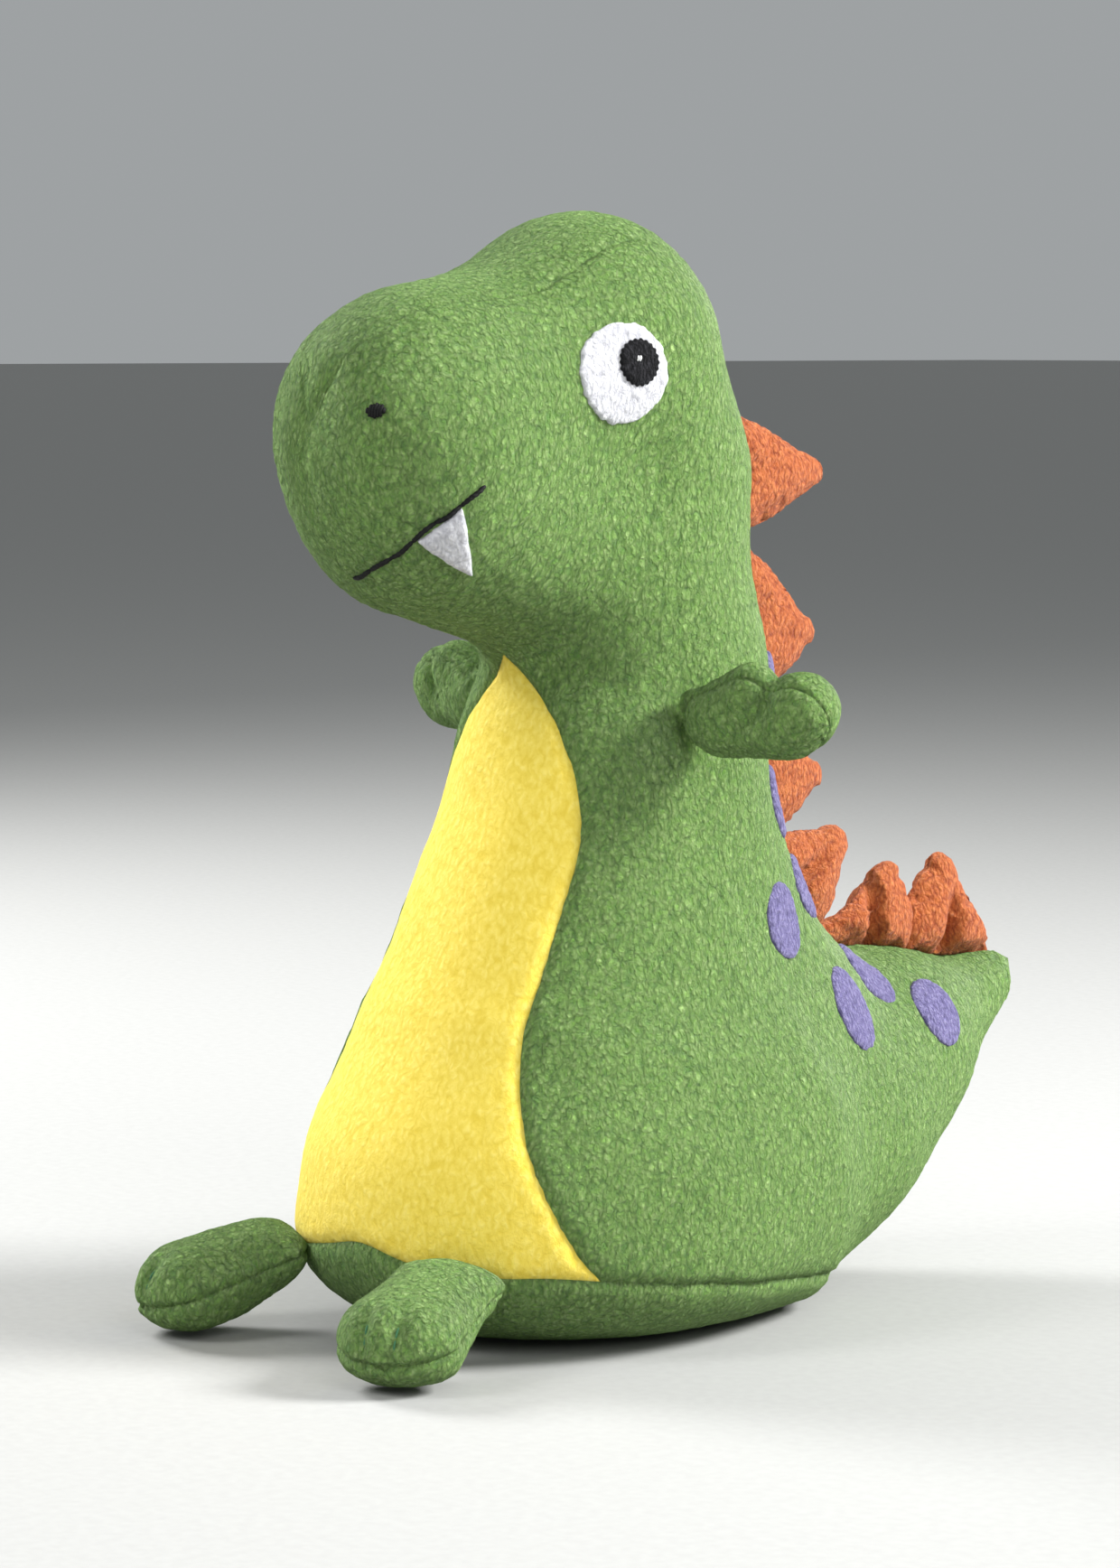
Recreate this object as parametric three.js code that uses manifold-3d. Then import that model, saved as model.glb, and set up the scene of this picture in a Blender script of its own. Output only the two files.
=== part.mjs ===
// Stuffed dinosaur: a sewn fleece skin over fibre stuffing, sitting on a flat seat.
// Millimetres, +Z up. The nose points to -Y, the toy's left side is +X, and the origin is
// on the seat's flat face, on the surface that the toy rests on.
import * as THREE from "three";
import { mergeVertices } from "three/addons/utils/BufferGeometryUtils.js";
import Module from "manifold-3d";

const wasm = await Module();
wasm.setup();

// ---------------------------------------------------------------- driving dimensions

const FLEECE = 2.4; // thickness of the fleece that every panel is cut from
const GAP = 0.3; // clearance between neighbouring pieces
const APPLIQUE = 1.8; // thickness of a spot, an eye or a tooth sewn on the skin
const PUPIL = 1.2; // thickness of the pupil on the eye
const THREAD = 0.75; // radius of the mouth's thread
const TOE_THREAD = 0.5; // radius of the thread that draws in the toes
const SEAT_FLAT = 0.8; // the skin is pressed flat where it comes this near to the floor

const RINGS = 28; // rings of the body's skin, from the tail to the nose
const SIDES = 16; // sides of each ring
const TAIL_DIRECTION = [0, 0.93, 0.37]; // where the tail's tip lies from the middle of the first rib

// A form is a list of balls and limbs, and each one melts into those before it with a fillet.
const BODY_FORM = [
  { fillet: 0, centre: [0, -4, 41], radii: [69, 71, 47] }, // hips
  { fillet: 20, from: [0, -1, 76], fromRadius: 56, to: [0, 16.5, 166], toRadius: 36 }, // chest
  { fillet: 16, from: [0, 17.5, 168], fromRadius: 32.8, to: [0, 16.5, 223], toRadius: 33.6 }, // neck
  { fillet: 10, from: [0, 9, 146], fromRadius: 37, to: [0, 40, 80], toRadius: 40 }, // rump
  { fillet: 14, centre: [0, 0, 253], radii: [38, 38, 40] }, // head
  { fillet: 24, centre: [0, -50, 237], radii: [37, 41.5, 37.5] }, // snout
  { fillet: 14, from: [0, -52, 219], fromRadius: 31, to: [0, 4, 202], toRadius: 30 }, // jaw
  { fillet: 26, from: [0, 40, 44], fromRadius: 55, to: [0, 104, 60], toRadius: 28 }, // tail
  { fillet: 16, from: [0, 104, 60], fromRadius: 28, to: [0, 156, 78], toRadius: 7.5 }, // tail end
  { fillet: 12, centre: [0, -8, 24], radii: [67, 68, 29] }, // seat
  { fillet: 20, centre: [0, 76, 42.5], radii: [41, 30, 29.5] }, // under the tail
];

// Each rib crosses the body from its back seam to its belly side, given as y and z of both ends.
const RIBS = [
  [154, 91, 155, 68], [140, 98, 149, 50], [118, 99, 138, 35], [98, 100, 112, 14],
  [84, 105, 78, 0], [76, 112, 40, -5], [70, 120, 0, -8], [66, 128, -36, -6],
  [64, 133, -58, 2], [62, 138, -70, 20], [60, 144, -74, 40], [58, 150, -74, 62],
  [54, 165, -56, 105], [52, 185, -32, 148], [51, 205, -18, 172], [50, 228, -20, 178],
  [46, 250, -26, 180], [34, 276, -36, 182], [5, 292, -44, 184], [-22, 284, -54, 186],
  [-50, 270, -64, 190], [-72, 258, -76, 200], [-85, 245, -86, 215],
];

// Seams of the body. The seat seam is a sloping plane, higher at the belly than at the tail.
const SEAT_SEAM_HEIGHT = 17;
const SEAT_SEAM_SLOPE = -0.12;
// Half the belly panel's width at each height, from its point under the chin to the seat seam.
const BELLY_EDGE = [
  [0.5, 176], [13, 166], [22, 154], [28, 139], [31, 122], [32, 104],
  [33, 88], [36, 74], [42, 60], [50, 44], [58, 20], [61, 0],
];
// Half the head gusset's width along the top of the head, from the nape to the nose.
const GUSSET_EDGE = [
  [0.5, 52], [10, 34], [20, 15], [23, -15], [20, -45], [16, -70], [9, -86], [0.5, -94],
];
const GUSSET_LOWEST = 234;

const EYE = { at: [37, -16, 251], radius: 13.4 };
const PUPIL_AT = { at: [38, -13.2, 253.6], radius: 5.8 };
const HIGHLIGHT = { at: [38, -13.2, 254.2], radius: 0.8, above: 4.5 };
const NOSTRIL = { left: [20.8, -83.3, 242], right: [-27, -79.2, 242], radii: [2.6, 1.2, 1.9] };
// The mouth is one line on the left cheek, from the seam down the middle of the muzzle.
const MOUTH = [
  [2, -76.6, 198.8], [7.5, -76.8, 200.6], [13, -76.6, 202.6], [19.9, -74.8, 206.7],
  [24.3, -73, 210.1], [29.8, -68.2, 215.6], [32.5, -64.6, 218.8], [35.3, -60.2, 223.1],
];
const TOOTH_CORNERS = [[30.9, -65.2, 215.6], [23.6, -71.6, 207.6], [25.2, -56.5, 200.3]];

// Purple spots of one flank: centre, lean of the long axis from +Z towards +Y in degrees, and
// half of the width and of the length.
const SPOTS = [
  { at: [22, 46, 166.5], lean: 0, half: [7, 10.5] },
  { at: [27, 47, 137], lean: 8, half: [7, 10] },
  { at: [25, 57, 113], lean: 15, half: [7, 9.5] },
  { at: [40, 37, 106.5], lean: 5, half: [7.7, 10.2] },
  { at: [22, 83, 85.5], lean: 30, half: [7, 11.5] },
  { at: [39, 64, 81], lean: 12, half: [9.3, 12] },
  { at: [25.5, 107, 74], lean: 22, half: [8.5, 10.6] },
];

// Spikes along the back seam: the rib numbers where each base starts and ends, the tip's y and z,
// half of the tip's width, and how far the side below and the side above the tip bulge.
const SPIKE_HALF_THICKNESS = 4.4;
const SPIKES = [
  { base: [15.72, 14.1], tip: [88, 223.5], blunt: 3, bulges: [4, 4] },
  { base: [14.05, 12.05], tip: [84.5, 179.5], blunt: 3.8, bulges: [6.5, 6] },
  { base: [12.0, 7.3], tip: [88, 140], blunt: 3.8, bulges: [4, 5] },
  { base: [7.0, 4.1], tip: [96.5, 123], blunt: 4.2, bulges: [3, 1.5] },
  { base: [3.95, 2.25], tip: [114.5, 114], blunt: 3.8, bulges: [3.5, -1] },
  { base: [2.05, 0.15], tip: [134.5, 115], blunt: 4.2, bulges: [1, 4] },
];

// The arm's own frame: +X out of the shoulder, +Z up, and a seam that leans forwards at its top.
const SHOULDER = [38.7, 3, 161.5];
const ARM_SWEEP = 17; // degrees that the arm points back of straight out
const ARM_FORM = [
  { fillet: 0, from: [2.4, 0, 4.6], fromRadius: 2.9, to: [5, 0, -2], toRadius: 3.4 }, // sewn edge
  { fillet: 6, from: [12, 0, -2.4], fromRadius: 6.8, to: [33, 0, -1], toRadius: 7.4 }, // length
  { fillet: 5, from: [8.6, 0, 1.2], fromRadius: 7, to: [18.8, -1.5, 7.8], toRadius: 6.9 }, // thumb
  { fillet: 3.5, centre: [34.6, 0.5, 3.3], radii: [10.3, 10, 10.4] }, // end
];
const ARM_CORE = [23, 0, -2];
const ARM_SEAM_LEAN = 35; // degrees

// The foot's own frame: the heel's sewn edge at the origin, toes to -Y, +Z up.
const HEEL = [32.8, -67.5, 22];
const FOOT_SPLAY = 24; // degrees that the toes point outwards
const FOOT_FORM = [
  { fillet: 0, centre: [0, -4, 0], radii: [15.5, 4.5, 4.5] }, // sewn edge
  { fillet: 8, from: [-7.5, -11, -2.6], fromRadius: 7.6, to: [-6.5, -30.5, -10.3], toRadius: 11 },
  { fillet: 8, from: [7.5, -11, -2.6], fromRadius: 7.6, to: [6.5, -30.5, -10.3], toRadius: 11 },
  { fillet: 6, from: [0, -13, -2.6], fromRadius: 8.6, to: [0, -33, -10.6], toRadius: 11.5 },
];
const FOOT_CORE = [0, -22, -7];
const FOOT_SEAM_TILT = 18; // degrees, the sole's seam runs down from the heel to the toes
const TOE_GAPS = [-5, 5]; // x of the two stitches between the toes

// ---------------------------------------------------------------- materials

const cloth = (color, roughness) => new THREE.MeshStandardMaterial({ color, roughness, metalness: 0 });
const GREEN = cloth(0x6fae45, 0.95);
const YELLOW = cloth(0xf2df2c, 0.95);
const ORANGE = cloth(0xd9702e, 0.95);
const PURPLE = cloth(0x8273c0, 0.95);
const WHITE = cloth(0xf1f1f3, 0.9);
const BLACK = cloth(0x141414, 0.7);
const FIBRE = cloth(0xf7f5ee, 1);
const GREEN_THREAD = cloth(0x3d7030, 0.8);

// ---------------------------------------------------------------- forms and skins

const vector = (p) => new THREE.Vector3(...p);

function ballDistance(point, { centre, radii }) {
  const q = point.clone().sub(vector(centre)).divide(vector(radii));
  const reach = q.length();
  return (reach * (reach - 1)) / Math.max(q.divide(vector(radii)).length(), 1e-9);
}

function limbDistance(point, { from, fromRadius, to, toRadius }) {
  const line = new THREE.Line3(vector(from), vector(to));
  const along = line.closestPointToPointParameter(point, true);
  const nearest = line.at(along, new THREE.Vector3());
  return point.distanceTo(nearest) - THREE.MathUtils.lerp(fromRadius, toRadius, along);
}

// Distance from a point to a form's surface, negative inside, never reaching below the floor.
function formDistance(form, point, floor = -Infinity) {
  let distance = Infinity;
  for (const piece of form) {
    const next = piece.centre ? ballDistance(point, piece) : limbDistance(point, piece);
    const blend = Math.max(piece.fillet - Math.abs(distance - next), 0);
    distance = Math.min(distance, next);
    if (blend > 0) distance -= (blend * blend) / (4 * piece.fillet);
  }
  return Math.max(distance, floor - point.z);
}

const bodyDistance = (point) => formDistance(BODY_FORM, point, 0);

// Walks out of a form along a ray, and returns the point where it passes the given level.
function castOut(distanceAt, origin, direction, level) {
  const STEP = 2;
  const point = new THREE.Vector3();
  let inside = 0;
  const isInside = (reach) =>
    distanceAt(point.copy(origin).addScaledVector(direction, reach)) < level;
  while (isInside(inside + STEP)) inside += STEP;
  let outside = inside + STEP;
  for (let i = 0; i < 20; i++) {
    const middle = (inside + outside) / 2;
    if (isInside(middle)) inside = middle;
    else outside = middle;
  }
  return point;
}

function outward(distanceAt, point) {
  const H = 0.5;
  const slope = (axis) => {
    const ahead = point.clone();
    const behind = point.clone();
    ahead[axis] += H;
    behind[axis] -= H;
    return distanceAt(ahead) - distanceAt(behind);
  };
  return new THREE.Vector3(slope("x"), slope("y"), slope("z")).normalize();
}

// Moves a point straight to the surface that lies the given distance off the form.
function dropOn(distanceAt, at, level) {
  const point = vector(at);
  for (let i = 0; i < 8; i++) {
    point.addScaledVector(outward(distanceAt, point), level - distanceAt(point));
  }
  return point;
}

// A closed three.js geometry as a manifold solid.
function solid(geometry) {
  const bare = geometry.clone();
  bare.deleteAttribute("normal");
  bare.deleteAttribute("uv");
  const merged = mergeVertices(bare, 1e-4);
  const vertProperties = merged.attributes.position.array;
  const triVerts = new Uint32Array(merged.index.array);
  return new wasm.Manifold(new wasm.Mesh({ numProp: 3, vertProperties, triVerts }));
}

// A ball whose rows and columns are moved to the places that place(row, column) gives.
function shapedBall(columns, rows, place) {
  const ball = new THREE.SphereGeometry(1, columns, rows);
  const position = ball.attributes.position;
  for (let i = 0; i < position.count; i++) {
    const row = Math.floor(i / (columns + 1));
    const spot = place(row, i % (columns + 1) % columns);
    position.setXYZ(i, spot.x, spot.y, spot.z);
  }
  return ball;
}

const ribEnds = (first) =>
  new THREE.CatmullRomCurve3(RIBS.map((rib) => new THREE.Vector3(0, rib[first], rib[first + 1])));
const BACK_LINE = ribEnds(0);
const BELLY_LINE = ribEnds(2);

// The point of the body's skin on a rib, at an angle from the back seam round to the belly.
function ribPoint(along, angle, level) {
  const back = BACK_LINE.getPoint(along);
  const belly = BELLY_LINE.getPoint(along);
  const centre = back.clone().lerp(belly, 0.5);
  const direction = back.sub(belly).normalize().multiplyScalar(Math.cos(angle));
  direction.x = Math.sin(angle);
  return castOut(bodyDistance, centre, direction, level);
}

function bodyEnd(along, direction, level) {
  const centre = BACK_LINE.getPoint(along).lerp(BELLY_LINE.getPoint(along), 0.5);
  return castOut(bodyDistance, centre, vector(direction), level);
}

// The body's outer surface moved out by level, or in where level is negative.
function bodySkin(level) {
  const geometry = shapedBall(SIDES, RINGS, (row, column) => {
    if (row === 0) return bodyEnd(0, TAIL_DIRECTION, level);
    if (row === RINGS) return bodyEnd(1, [0, -1, 0], level);
    const along = (row - 1) / (RINGS - 2);
    const point = ribPoint(along, (2 * Math.PI * column) / SIDES, level);
    if (point.z < SEAT_FLAT - level) point.z = -level;
    return point;
  });
  splitRightHalf(geometry.index);
  return solid(geometry);
}

// Splits each square of the skin's right half along its other diagonal, so both halves mirror.
function splitRightHalf(index) {
  for (let row = 1; row < RINGS - 1; row++) {
    for (let column = SIDES / 2; column < SIDES; column++) {
      const first = 3 * SIDES + 6 * ((row - 1) * SIDES + column);
      index.setX(first + 2, index.getX(first + 4));
      index.setX(first + 3, index.getX(first));
    }
  }
}

// The surface of a small form, seen from a core point that sees all of it.
function limbSkin(form, core, level, floor) {
  const ball = new THREE.SphereGeometry(1, 14, 8);
  const position = ball.attributes.position;
  const distanceAt = (point) => formDistance(form, point, floor);
  for (let i = 0; i < position.count; i++) {
    const direction = new THREE.Vector3().fromBufferAttribute(position, i);
    const spot = castOut(distanceAt, vector(core), direction.normalize(), level);
    position.setXYZ(i, spot.x, spot.y, spot.z);
  }
  return solid(ball);
}

// ---------------------------------------------------------------- cutting and placing

const dinosaur = new THREE.Group();
const mirror = new THREE.Group();
mirror.scale.x = -1;
dinosaur.add(mirror);

function addPart(name, shape, material, parent = dinosaur) {
  const { vertProperties, triVerts } = shape.getMesh();
  const geometry = new THREE.BufferGeometry();
  geometry.setAttribute("position", new THREE.BufferAttribute(vertProperties, 3));
  geometry.setIndex(new THREE.BufferAttribute(triVerts, 1));
  geometry.computeVertexNormals();
  const part = new THREE.Mesh(geometry, material);
  part.name = name;
  parent.add(part);
}

// Adds a piece of the toy's left side, and its mirror image on the right.
function addPair(name, shape, material, place = (parent) => parent) {
  addPart("left_" + name, shape, material, place(dinosaur));
  addPart("right_" + name, shape, material, place(mirror));
}

const prism = (shape, depth) => new THREE.ExtrudeGeometry(shape, { depth, bevelEnabled: false });

// A block that holds everything on one side of a plane through a point, beyond a small clearance.
function halfSpace(point, normal, clearance) {
  const SIZE = 600;
  const block = new THREE.BoxGeometry(SIZE, SIZE, SIZE);
  block.translate(0, 0, SIZE / 2 + clearance);
  const towards = vector(normal).normalize();
  const turn = new THREE.Quaternion().setFromUnitVectors(new THREE.Vector3(0, 0, 1), towards);
  return solid(block.applyQuaternion(turn).translate(...point));
}

// A closed outline from one edge, which runs down its right side, and its mirror image, moved
// out by grow.
function bothSides(edge, grow) {
  const right = edge.map(([half, along]) => new THREE.Vector2(half, along));
  const left = edge.map(([half, along]) => new THREE.Vector2(-half, along)).reverse();
  const outline = [...right, ...left];
  const moved = outline.map((point, i) => {
    const along = outline[(i + 1) % outline.length].clone().sub(outline.at(i - 1)).normalize();
    return new THREE.Vector2(-along.y, along.x).multiplyScalar(grow).add(point);
  });
  return new THREE.Shape(moved);
}

// ---------------------------------------------------------------- body

const skin = bodySkin(0);
const shell = skin.subtract(bodySkin(-FLEECE));
const seatNormal = [0, -SEAT_SEAM_SLOPE, 1];
const aboveSeat = halfSpace([0, 0, SEAT_SEAM_HEIGHT], seatNormal, GAP / 2);
const belowSeat = halfSpace([0, 0, SEAT_SEAM_HEIGHT], seatNormal.map((n) => -n), GAP / 2);

// The belly cutter runs from in front of the toy back to its middle.
const bellyCutter = (grow) => solid(prism(bothSides(BELLY_EDGE, grow), 130).rotateX(Math.PI / 2));
const gussetCutter = (grow) =>
  solid(prism(bothSides(GUSSET_EDGE, grow), 100).translate(0, 0, GUSSET_LOWEST - grow));

const upperShell = shell.intersect(aboveSeat);
addPart("base_panel", shell.intersect(belowSeat), GREEN);
addPart("belly_panel", upperShell.intersect(bellyCutter(-GAP / 2)), YELLOW);
addPart("head_gusset", upperShell.intersect(gussetCutter(-GAP / 2)), GREEN);
const flanks = upperShell.subtract(bellyCutter(GAP / 2)).subtract(gussetCutter(GAP / 2));
addPair("side_panel", flanks.intersect(halfSpace([0, 0, 0], [1, 0, 0], GAP / 2)), GREEN);
addPart("body_stuffing", bodySkin(-FLEECE - GAP), FIBRE);

// ---------------------------------------------------------------- pieces sewn on the skin

const layer = (low, high) => bodySkin(high).subtract(bodySkin(low));
const appliqueLayer = layer(GAP, GAP + APPLIQUE);
const pupilLayer = layer(2 * GAP + APPLIQUE, 2 * GAP + APPLIQUE + PUPIL);

// A frame on the skin at a place, with +Z out of the skin and +Y turned to up.
function skinFrame(at, up) {
  const centre = dropOn(bodyDistance, at, 0);
  const normal = outward(bodyDistance, centre);
  const side = vector(up).cross(normal).normalize();
  const frame = new THREE.Matrix4().makeBasis(side, normal.clone().cross(side), normal);
  return frame.setPosition(centre);
}

// Cuts a flat outline out of a layer of the skin, where a frame on the skin puts it.
function patch(shape, frame, clothLayer) {
  const REACH = 9;
  const cutter = prism(shape, 2 * REACH).translate(0, 0, -REACH).applyMatrix4(frame);
  return clothLayer.intersect(solid(cutter));
}

const ellipse = (halfWidth, halfHeight) =>
  new THREE.Shape(new THREE.EllipseCurve(0, 0, halfWidth, halfHeight).getPoints(11).slice(0, -1));

const disc = ({ radius }) => ellipse(radius, radius);
addPair("eye", patch(disc(EYE), skinFrame(EYE.at, [0, 0, 1]), appliqueLayer), WHITE);
addPair("pupil", patch(disc(PUPIL_AT), skinFrame(PUPIL_AT.at, [0, 0, 1]), pupilLayer), BLACK);

// The tooth's corners lie on the skin, and its outline is theirs seen from straight above.
const toothMiddle = [0, 1, 2].map((i) => TOOTH_CORNERS.reduce((sum, at) => sum + at[i] / 3, 0));
const toothFrame = skinFrame(toothMiddle, [0, -0.6, 0.8]);
const ontoTooth = toothFrame.clone().invert();
const toothOutline = TOOTH_CORNERS.map((corner) => vector(corner).applyMatrix4(ontoTooth));
const toothShape = new THREE.Shape(toothOutline.map(({ x, y }) => new THREE.Vector2(x, y)));
addPart("left_tooth", patch(toothShape, toothFrame, appliqueLayer), WHITE);

SPOTS.forEach(({ at, lean, half }, index) => {
  const angle = THREE.MathUtils.degToRad(lean);
  const up = [0, -Math.sin(angle), Math.cos(angle)];
  const spot = patch(ellipse(...half), skinFrame(at, up), appliqueLayer);
  addPair("spot_" + (index + 1), spot, PURPLE);
});

// A small stitched knot that lies on the skin, flattened along the skin's normal.
function knot(at, radii, above) {
  const centre = dropOn(bodyDistance, at, above);
  const normal = outward(bodyDistance, centre);
  const turn = new THREE.Quaternion().setFromUnitVectors(new THREE.Vector3(0, 1, 0), normal);
  const ball = new THREE.SphereGeometry(1, 8, 5).scale(...radii);
  return solid(ball.applyQuaternion(turn).translate(...centre));
}

addPart("left_nostril", knot(NOSTRIL.left, NOSTRIL.radii, GAP + NOSTRIL.radii[1]), BLACK);
addPart("right_nostril", knot(NOSTRIL.right, NOSTRIL.radii, GAP + NOSTRIL.radii[1]), BLACK);
const glint = HIGHLIGHT.radius;
addPair("eye_highlight", knot(HIGHLIGHT.at, [glint, glint, glint], HIGHLIGHT.above), WHITE);

// A thread of five sides along a curve through the given points.
function thread(points, radius, steps) {
  const ring = new THREE.EllipseCurve(0, 0, radius, radius).getPoints(5);
  const section = new THREE.Shape(ring.slice(0, -1));
  const extrudePath = new THREE.CatmullRomCurve3(points);
  return solid(new THREE.ExtrudeGeometry(section, { extrudePath, steps, bevelEnabled: false }));
}

const smile = MOUTH.map((at) => dropOn(bodyDistance, at, GAP + THREAD));
addPart("mouth_stitch", thread(smile, THREAD, 16), BLACK);

// ---------------------------------------------------------------- arms and feet

// The two panels and the stuffing of a limb, parted at the plane through its core.
function addLimb(name, form, core, floor, seamNormal, panels, place) {
  const outer = limbSkin(form, core, 0, floor);
  const hollow = outer.subtract(limbSkin(form, core, -FLEECE, floor));
  const first = hollow.intersect(halfSpace(core, seamNormal, GAP / 2));
  const second = hollow.intersect(halfSpace(core, seamNormal.map((n) => -n), GAP / 2));
  addPair(name + "_" + panels[0], first, GREEN, place);
  addPair(name + "_" + panels[1], second, GREEN, place);
  addPair(name + "_stuffing", limbSkin(form, core, -FLEECE - GAP, floor), FIBRE, place);
}

function limbPlace(position, degrees) {
  return (parent) => {
    const group = new THREE.Group();
    group.position.set(...position);
    group.rotation.z = THREE.MathUtils.degToRad(degrees);
    parent.add(group);
    return group;
  };
}

const armPlace = limbPlace(SHOULDER, ARM_SWEEP);
const armLean = THREE.MathUtils.degToRad(ARM_SEAM_LEAN);
const armSeamNormal = [0, -Math.cos(armLean), -Math.sin(armLean)];
const armPanels = ["front_panel", "back_panel"];
addLimb("arm", ARM_FORM, ARM_CORE, -Infinity, armSeamNormal, armPanels, armPlace);

const footPlace = limbPlace(HEEL, FOOT_SPLAY);
const footFloor = -HEEL[2];
const seamTilt = THREE.MathUtils.degToRad(FOOT_SEAM_TILT);
const footSeamNormal = [0, -Math.sin(seamTilt), Math.cos(seamTilt)];
const footPanels = ["top_panel", "sole_panel"];
addLimb("foot", FOOT_FORM, FOOT_CORE, footFloor, footSeamNormal, footPanels, footPlace);

// Each toe stitch runs over the toes' front, from the top of the foot down to the sole's seam.
const footDistance = (point) => formDistance(FOOT_FORM, point, footFloor);
TOE_GAPS.forEach((x, index) => {
  const route = [[x, -34, 3], [x, -40, 0], [x, -44, -5], [x, -46, -10]];
  const points = route.map((at) => dropOn(footDistance, at, 2 * GAP + TOE_THREAD));
  addPair("toe_stitch_" + (index + 1), thread(points, TOE_THREAD, 6), GREEN_THREAD, footPlace);
});

// ---------------------------------------------------------------- spikes

// Outline of a spike as x = y and y = z of the toy: its base follows the back seam.
function spikeOutline({ base, tip, blunt, bulges }, inset) {
  const BASE_STEPS = 4;
  const LIFT = 1;
  const SHARES = [0.25, 0.5, 0.75];
  const points = [];
  for (let i = 0; i <= BASE_STEPS; i++) {
    const along = THREE.MathUtils.lerp(base[0], base[1], i / BASE_STEPS) / (RIBS.length - 1);
    const point = ribPoint(along, 0, LIFT);
    points.push(new THREE.Vector2(point.y, point.z));
  }
  const top = new THREE.Vector2(...tip);
  const upper = points[0].clone();
  const lower = points[BASE_STEPS].clone();
  const middle = upper.clone().lerp(lower, 0.5);
  const rise = top.clone().sub(middle);
  const down = lower.clone().sub(upper).normalize();
  const side = (from, share, bulge) => {
    const straight = from.clone().lerp(middle, share).addScaledVector(rise, share);
    return straight.addScaledVector(down, 4 * bulge * share * (1 - share));
  };
  const shoulder = (width) => top.clone().addScaledVector(down, width).addScaledVector(rise, -0.06);
  points.push(...SHARES.map((share) => side(lower, share, bulges[0])));
  points.push(shoulder(blunt), top, shoulder(-blunt));
  points.push(...SHARES.toReversed().map((share) => side(upper, share, -bulges[1])));
  const centre = middle.clone().addScaledVector(rise, 0.4);
  const fromCentre = points.map((point) => point.clone().sub(centre));
  return { centre, points: fromCentre.map((point) => point.setLength(point.length() - inset)) };
}

// A puffy closed form over the outline, thickest in the middle and pinched at its edge.
function spikeForm(spike, inset) {
  const ROWS = 6;
  const { centre, points } = spikeOutline(spike, inset);
  const geometry = shapedBall(points.length, ROWS, (row, column) => {
    const angle = (Math.PI * row) / ROWS;
    const flat = points[column].clone().multiplyScalar(Math.sin(angle)).add(centre);
    return new THREE.Vector3((SPIKE_HALF_THICKNESS - inset) * Math.cos(angle), flat.x, flat.y);
  });
  return solid(geometry);
}

SPIKES.forEach((spike, index) => {
  const hollow = spikeForm(spike, 0).subtract(spikeForm(spike, FLEECE));
  const layerOnLeft = hollow.intersect(halfSpace([0, 0, 0], [1, 0, 0], GAP / 2));
  addPair("spike_" + (index + 1) + "_layer", layerOnLeft, ORANGE);
});

export default dinosaur;
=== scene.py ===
"""Looks of a stuffed dinosaur: fleece panels sewn round a fibre filling, felt eyes and thread.

Shapes are worked out in millimetres in the part's own frame and become metres in the mesh.
"""

import math

import bpy
import numpy as np
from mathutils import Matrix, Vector
from mathutils.kdtree import KDTree


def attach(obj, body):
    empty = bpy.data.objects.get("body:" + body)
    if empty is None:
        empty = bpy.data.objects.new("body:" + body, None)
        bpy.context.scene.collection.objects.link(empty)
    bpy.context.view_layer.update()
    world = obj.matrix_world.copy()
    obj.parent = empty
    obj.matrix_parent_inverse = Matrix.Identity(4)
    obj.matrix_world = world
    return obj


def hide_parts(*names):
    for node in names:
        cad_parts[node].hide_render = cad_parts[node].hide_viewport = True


MM = 0.001
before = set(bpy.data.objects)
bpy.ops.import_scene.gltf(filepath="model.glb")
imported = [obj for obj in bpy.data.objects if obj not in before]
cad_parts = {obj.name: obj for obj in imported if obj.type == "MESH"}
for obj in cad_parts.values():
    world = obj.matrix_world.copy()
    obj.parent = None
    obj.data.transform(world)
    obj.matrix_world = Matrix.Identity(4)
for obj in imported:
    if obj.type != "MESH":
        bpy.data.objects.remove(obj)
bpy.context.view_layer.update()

# ------------------------------------------------------------------ dimensions, in millimetres

FLEECE = 2.3  # thickness of the body's and the limbs' cloth
BODY_NAP_RISE, BELLY_NAP_RISE, NAP_RISE = 0.34, 0.16, 0.22  # how far clumps of pile stand out
BODY_FILLING_LEVEL = -3.4  # how far under the body's surface its filling starts
SEAM_DEPTH = 1.2  # how far the seams round the belly and the seat draw the cloth in
SEAM_WIDTH = 1.4
BODY_ROWS, BODY_COLUMNS = ((330, 288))

BODY_FORM = [
    # fillet, then a ball's centre and radii, or a limb's start, radius, end, radius
    (0, (0, -4, 41), (69, 71, 47)),
    (20, (0, -1, 76), 56, (0, 16.5, 166), 36),
    (16, (0, 17.5, 168), 32.8, (0, 16.5, 223), 33.6),
    (10, (0, 9, 146), 37, (0, 40, 80), 40),
    (14, (0, 0, 253), (38, 38, 40)),
    (24, (0, -50, 237), (37, 41.5, 37.5)),
    (14, (0, -52, 219), 31, (0, 4, 202), 30),
    (26, (0, 40, 44), 55, (0, 104, 60), 28),
    (16, (0, 104, 60), 28, (0, 156, 78), 7.5),
    (12, (0, -8, 24), (67, 68, 29)),
    (20, (0, 76, 42.5), (41, 30, 29.5)),
]
FLOOR_FILLET = 10
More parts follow.
